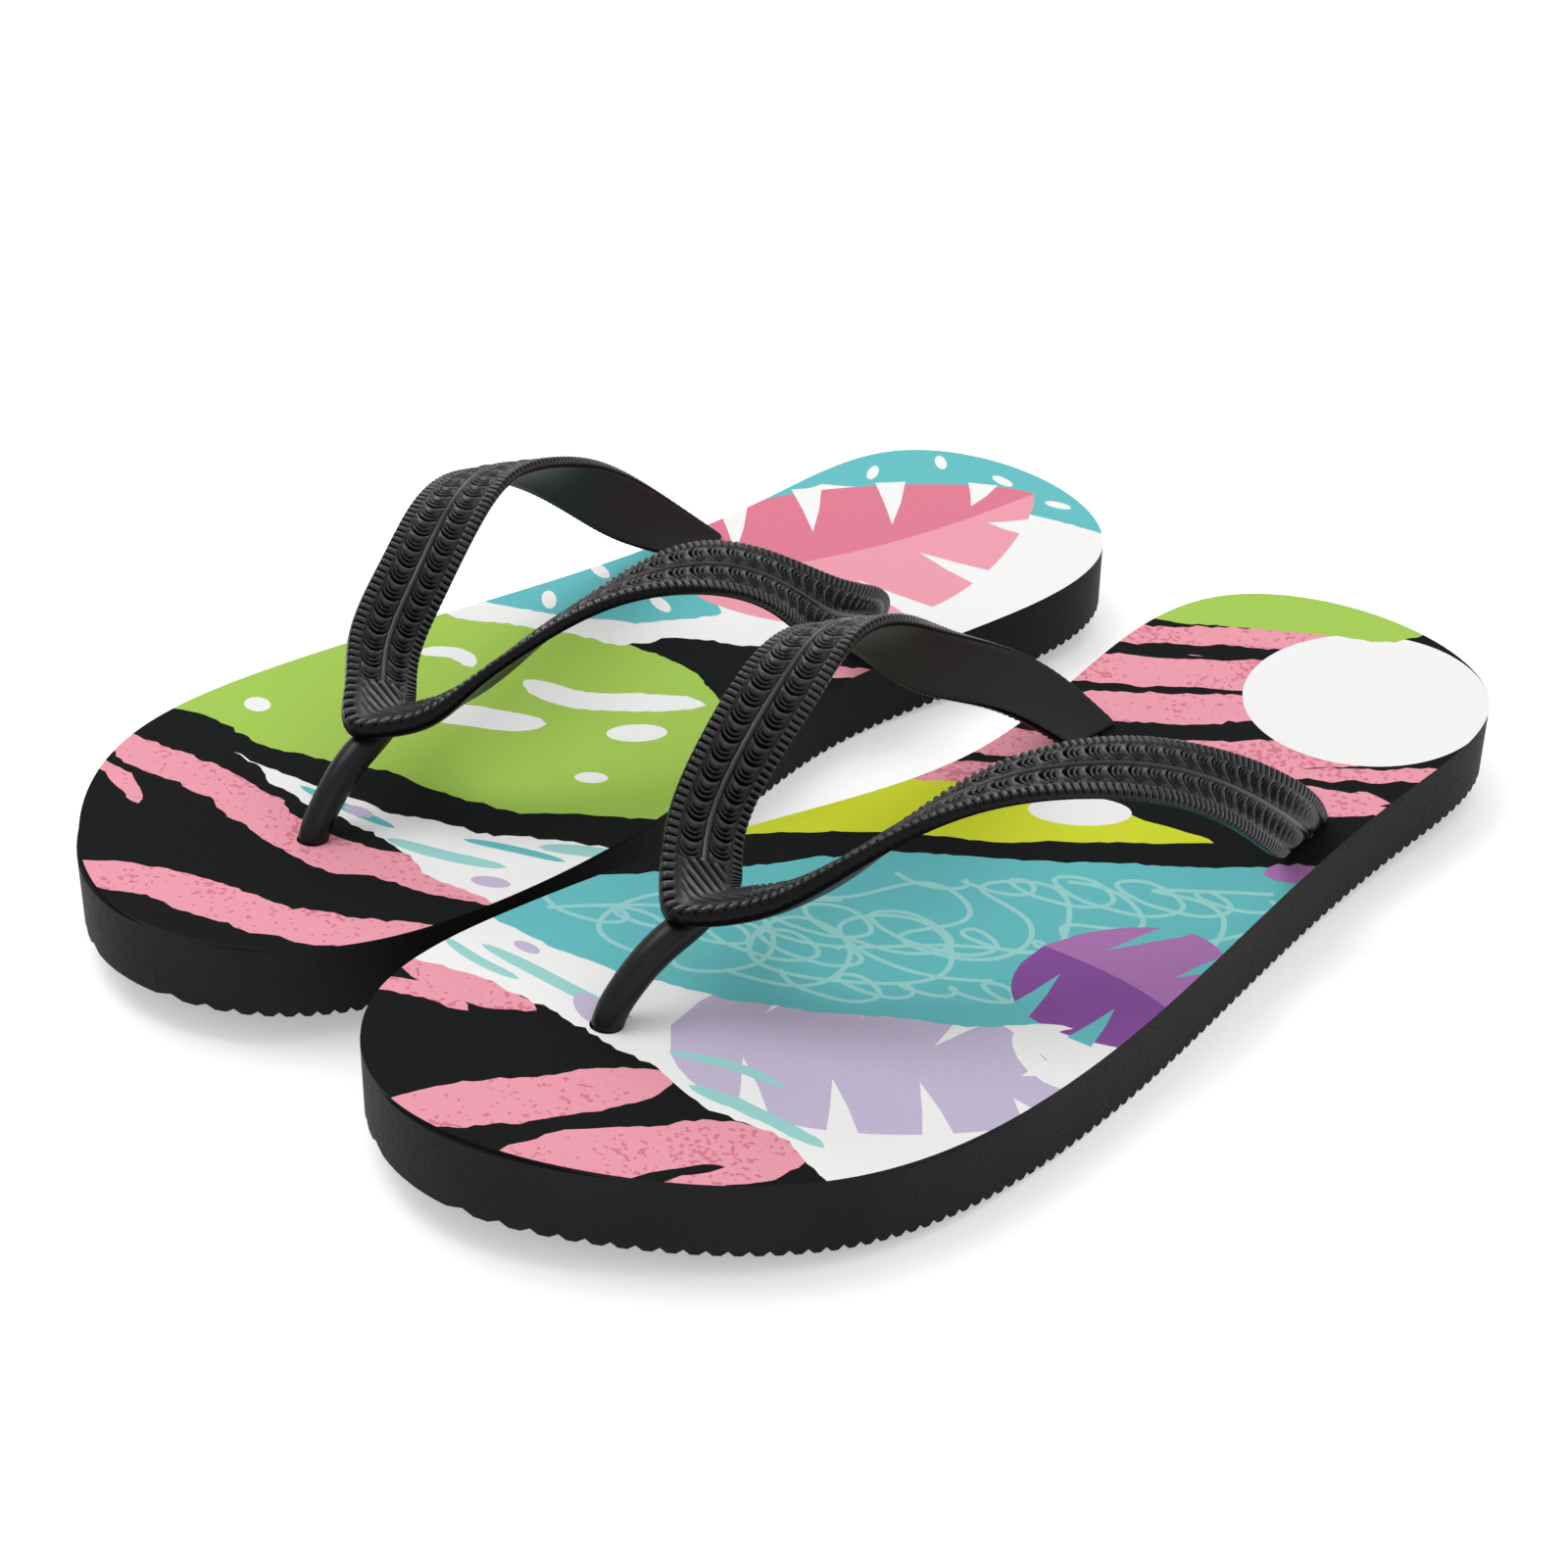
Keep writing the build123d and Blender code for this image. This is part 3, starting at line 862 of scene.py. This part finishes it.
def band_surface():
    """The band as rings of points round its section, from the outer hole to the inner one."""
    stations = rungs()
    heels, toes = np.array([r[0] for r in stations]), np.array([r[1] for r in stations])
    knots = lengths((heels + toes) / 2)
    both = cubic(knots, np.hstack([heels, toes]))
    along = np.linspace(0, knots[-1], ALONG_STEPS + 1)
    heel, toe = np.split(both(along), 2, axis=1)
    middle = (heel + toe) / 2
    meet = knots[len(OUTER_ARM) + 1 + len(MEETING) // 2]
    away = np.abs(along - meet)[:, None]
    from_end = np.minimum(along, knots[-1] - along)[:, None]
    across = toe - heel
    normal = unit(np.cross(np.gradient(middle, axis=0), across))
    over_to = np.where(along < meet, OVER_TO_OUTER, OVER_TO_INNER)[:, None]
    over = 1 - smooth(OVER_FROM, over_to, away)  # 1 where the arms meet

    def row(v, out):
        """Points across the band at v, standing this far out of its middle surface."""
        share = (v + HALF_BAND) / BAND_WIDTH
        return heel[:, None] + across[:, None] * share[..., None] + normal[:, None] * out[..., None]

    def face(start, steps):
        """Distances across the band from start to its mirror image, the same on every ring."""
        return np.broadcast_to(np.linspace(start, -start, steps + 1), (ALONG_STEPS + 1, steps + 1))

    def edge(start, end, way):
        """The rounded edge between two faces, without its first and last point."""
        for step in range(1, EDGE_STEPS):
            share = step / EDGE_STEPS
            out = EDGE_BULGE * sqrt(1 - (2 * share - 1) ** 2)
            yield (start + (end - start) * share + unit(across) * way * out)[:, None]

    thinner = 1 - LIP_THINNING * rounded(from_end, LIP_LENGTH)
    narrower = 1 - CORNER_NARROWING * rounded(from_end, CORNER_LENGTH)
    v = face(-HALF_BAND + OUTER_INSET, ACROSS_STEPS)
    crown = CROWN * (1 - (v / HALF_BAND) ** 2)
    pattern = emboss(away, v, from_end, row(v, np.zeros_like(v)))
    outer = row(v * narrower, (OUTER_FACE + crown + pattern) * thinner)
    v = face(HALF_BAND - UNDER_INSET, UNDER_STEPS)
    hollow = HOLLOW * (1 - (v / HALF_BAND) ** 2) * (1 - over)
    keel = KEEL * over * (1 - (1 - KEEL_FLANKS) * np.abs(v / HALF_BAND) ** 2.5)
    under = row(v * narrower, -(UNDER_FACE + keel + OVER_EXTRA * over - hollow) * thinner)
    toe_edge = edge(outer[:, -1], under[:, 0], 1)
    heel_edge = edge(under[:, -1], outer[:, 0], -1)
    band = np.concatenate([outer, *toe_edge, under, *heel_edge], axis=1)
    # Levels for the material's painted shade and highlight: a fixed darker level on the edges, the
    # darkest, glossless one on the strip beside the underside, and the relief on the outer face
    relief_shade = np.full(band.shape[:2], EDGES)
    relief_shade[:, UNDER_FIRST - 1 : UNDER_FIRST + UNDER_STEPS + 2] = GROOVE
    relief_shade[:, : ACROSS_STEPS + 1] = np.clip(FLAT + pattern, 0, 1)
    return band, relief_shade


def tube_faces(rings, size, first=0):
    """Faces of a tube with closed ends, whose points come in rings of this size."""
    faces = []
    for ring in range(rings - 1):
        base = first + ring * size
        for k in range(size):
            after = (k + 1) % size
            faces.append((base + k, base + after, base + size + after, base + size + k))
    faces.append(tuple(first + k for k in reversed(range(size))))
    faces.append(tuple(first + (rings - 1) * size + k for k in range(size)))
    return faces


def lathe(middle, profile, count=48):
    """A round piece: rings of points at these radii and heights."""
    rings = [np.column_stack([circle(middle, r, count), np.full(count, z)]) for r, z in profile]
    return np.concatenate(rings), len(profile), count


SEAM_HEIGHT, SEAM_WIDTH, SEAM_TURN = 0.012, 0.03, 0.2  # the mould's parting line up the toe post
POST_FLATTENING = 0.95


def post_surface(count=40, rings=60):
    """The toe post: a round tube along a curve, which thins out between the arms."""
    middles, radii = np.array([p for p, _ in POST], float), np.array([[r] for _, r in POST])
    knots = lengths(middles)
    line = cubic(knots, np.hstack([middles, radii]))(np.linspace(0, knots[-1], rings))
    run = unit(np.gradient(line[:, :3], axis=0))
    side_way = unit(np.cross(np.cross(run, np.array([1.0, 0.0, 0.0])), run))
    front_way = np.cross(run, side_way) * POST_FLATTENING
    angles = np.linspace(0, 2 * pi, count, endpoint=False)
    seam = 1 + SEAM_HEIGHT * bump(np.sin(angles / 2 - SEAM_TURN), SEAM_WIDTH)
    sideways, forwards = (np.cos(angles) * seam)[:, None], (np.sin(angles) * seam)[:, None]
    points = [
        line[k, :3] + line[k, 3] * (sideways * side_way[k] + forwards * front_way[k])
        for k in range(rings)
    ]
    return np.concatenate(points), rings, count


def strap(side, materials):
    """The strap as one moulding: the band, the toe post, and a neck and a plug at each end."""
    band, relief_shade = band_surface()
    rings, size = band.shape[:2]
    points, faces = [band.reshape(-1, 3)], tube_faces(rings, size)
    total = rings * size
    slots = np.zeros(len(faces), int)
    walls = slots[: (rings - 1) * size].reshape(-1, size)
    walls[:, UNDER_FIRST : UNDER_FIRST + UNDER_STEPS] = 1
    shells = [post_surface()]
    for hole, radius in HOLES:
        neck = radius - HOLE_CLEARANCE
        plug_top = float(height(BEND_RADIUS, hole[1])) + RECESS_DEPTH
        plug_low = plug_top - PLUG_THICKNESS
        neck_top = float(height(FOOTBED_RADIUS, hole[1])) + NECK_REACH
        profile = [  # a dimple in the plug's underside, its rounded edge, then the neck
            (1.2, plug_low + 0.35), (1.5, plug_low + 0.05), (PLUG_RADIUS - 0.7, plug_low),
            (PLUG_RADIUS - 0.2, plug_low + 0.2), (PLUG_RADIUS, plug_low + 0.7),
            (PLUG_RADIUS, plug_top - 0.5), (PLUG_RADIUS - 0.5, plug_top), (neck + 0.3, plug_top),
            (neck, plug_top + 0.3), (neck, neck_top - NECK_REACH - 0.15), (neck * 0.5, neck_top),
        ]
        shells.append(lathe(hole, profile))
    for shell, shell_rings, shell_size in shells:
        points.append(shell)
        faces += tube_faces(shell_rings, shell_size, total)
        total += len(shell)
    points = np.concatenate(points)
    relief_shade = np.concatenate([relief_shade.ravel(), np.full(total - rings * size, POST_AND_PLUGS)])
    slots = np.concatenate([slots, np.zeros(len(faces) - len(slots), int)])
    name = f"strap_moulding_{side}"
    piece = mesh_piece(name, points, faces, side, materials, slots, relief_shade=relief_shade)
    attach(piece, f"{side}_sandal")
    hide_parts(f"strap_{side}")


# ------------------------------------------------------ camera, floor and light
CAMERA_PLACE = (-0.358, 0.3683, 0.319)  # in metres, like all the stage
CAMERA_AZIMUTH = radians(224.4)  # 0 looks along +Y, 90 along -X
CAMERA_DOWN = radians(30.8)
CAMERA_ROLL = radians(1.2)
CAMERA_LENS = 66.4
FLOOR_REACH = 60.0
FLOOR_GLOW = 0.36
WORLD_LIGHT = 0.7


def camera():
    """Looks down on the pair from beyond the toes, on the outer side of the left sandal."""
    data = bpy.data.cameras.new("camera")
    data.sensor_width = 36
    data.lens = CAMERA_LENS
    data.clip_start = 0.01
    data.clip_end = 20
    piece = bpy.data.objects.new("camera", data)
    bpy.context.scene.collection.objects.link(piece)
    level = cos(CAMERA_DOWN)
    forward = (-sin(CAMERA_AZIMUTH) * level, cos(CAMERA_AZIMUTH) * level, -sin(CAMERA_DOWN))
    turn = Vector(forward).to_track_quat("-Z", "Y").to_matrix().to_4x4()
    roll = Matrix.Rotation(CAMERA_ROLL, 4, "Z")
    piece.matrix_world = Matrix.Translation(CAMERA_PLACE) @ turn @ roll
    bpy.context.scene.camera = piece


def floor():
    """A plain white floor, far larger than the view."""
    mesh = bpy.data.meshes.new("floor")
    ways = ((-1, -1), (1, -1), (1, 1), (-1, 1))
    mesh.from_pydata([(x * FLOOR_REACH, y * FLOOR_REACH, 0) for x, y in ways], [], [(0, 1, 2, 3)])
    nodes = Nodes("floor", (0.93, 0.93, 0.93), 0.9, 0.0)
    nodes.shader.inputs["Emission Color"].default_value = (1, 1, 1, 1)
    nodes.shader.inputs["Emission Strength"].default_value = FLOOR_GLOW
    mesh.materials.append(nodes.material)
    piece = bpy.data.objects.new("floor", mesh)
    bpy.context.scene.collection.objects.link(piece)


def lamp(name, place, target, size, power):
    """A rectangular lamp that points at the target."""
    data = bpy.data.lights.new(name, "AREA")
    data.shape = "RECTANGLE"
    data.size, data.size_y = size
    data.energy = power
    piece = bpy.data.objects.new(name, data)
    bpy.context.scene.collection.objects.link(piece)
    piece.location = place
    piece.rotation_mode = "QUATERNION"
    piece.rotation_quaternion = (Vector(target) - Vector(place)).to_track_quat("-Z", "Y")


def lights():
    """Even light from all round, a key lamp above and two weaker lamps."""
    world = bpy.data.worlds.new("studio")
    world.use_nodes = True
    background = world.node_tree.nodes["Background"]
    background.inputs["Color"].default_value = (1, 1, 1, 1)
    background.inputs["Strength"].default_value = WORLD_LIGHT
    bpy.context.scene.world = world
    lamp("key", (0.5, 0.2, 1.1), (0, 0, 0), (0.7, 0.7), 5.0)
    lamp("back", (0.6, -0.9, 0.8), (0, 0, 0.02), (1.0, 0.4), 3.0)
    lamp("fill", (-0.9, 0.7, 0.7), (0, 0, 0.02), (0.8, 0.8), 0.7)
    bpy.context.scene.view_settings.view_transform = "Standard"


camera()
floor()
lights()
strap_materials = [strap_material(), underside_sheen_material()]
sole_rubber = rubber_material()
colours = {"edge": sole_rubber}
for name, value in PRINT_COLOURS.items():
    colours[name] = fabric_material(name, value, SPECKLE if name == "pink" else None)
top_sheet("left", left_print(), colours)
top_sheet("right", right_print(), colours)
for side in ("left", "right"):
    strap(side, strap_materials)
    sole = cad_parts[f"sole_{side}"]
    sole.data.materials.clear()
    sole.data.materials.append(sole_rubber)
